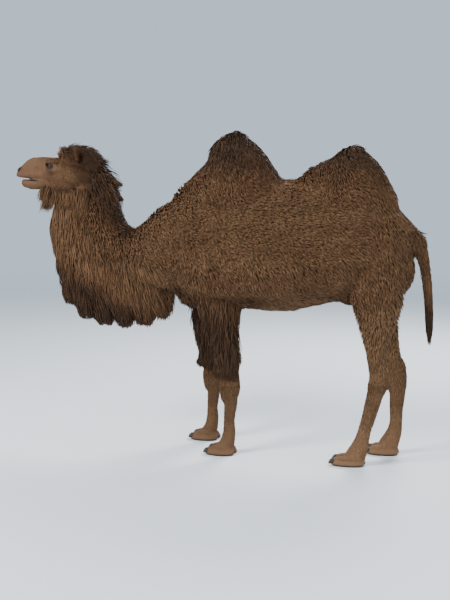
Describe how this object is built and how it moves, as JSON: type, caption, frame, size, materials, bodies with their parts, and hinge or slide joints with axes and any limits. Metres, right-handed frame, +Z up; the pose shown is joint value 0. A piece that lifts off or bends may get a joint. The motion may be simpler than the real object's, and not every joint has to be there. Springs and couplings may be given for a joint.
{
  "type": "bactrian camel",
  "caption": "Still, life-size model of a standing two-humped camel in its winter coat, with long hair on its neck and forelegs.",
  "frame": {"origin": "on the ground, under the middle of the whole animal's box", "axes": "+Z up, the head points to -Y, the animal's own left side is +X"},
  "size_m": [0.7912, 2.9282, 2.134],
  "materials": {
    "coat": "short to medium woolly hair, matte",
    "long_coat": "long wavy hair, matte",
    "face": "very short hair over skin, matte",
    "eye": "wet and glossy",
    "nail": "horn, satin"
  },
  "bodies": {
    "root": {"trunk": "coat", "hump_front": "coat", "hump_rear": "coat", "neck": "coat", "beard": "long_coat", "head": "face", "jaw": "face", "ear_left": "face", "ear_right": "face", "eye_left": "eye", "eye_right": "eye", "leg_front_left": "coat", "leg_front_right": "coat", "leg_hind_left": "coat", "leg_hind_right": "coat", "nail_front_left_inner": "nail", "nail_front_left_outer": "nail", "nail_front_right_inner": "nail", "nail_front_right_outer": "nail", "nail_hind_left_inner": "nail", "nail_hind_left_outer": "nail", "nail_hind_right_inner": "nail", "nail_hind_right_outer": "nail", "tail": "coat"}
  },
  "joints": []
}
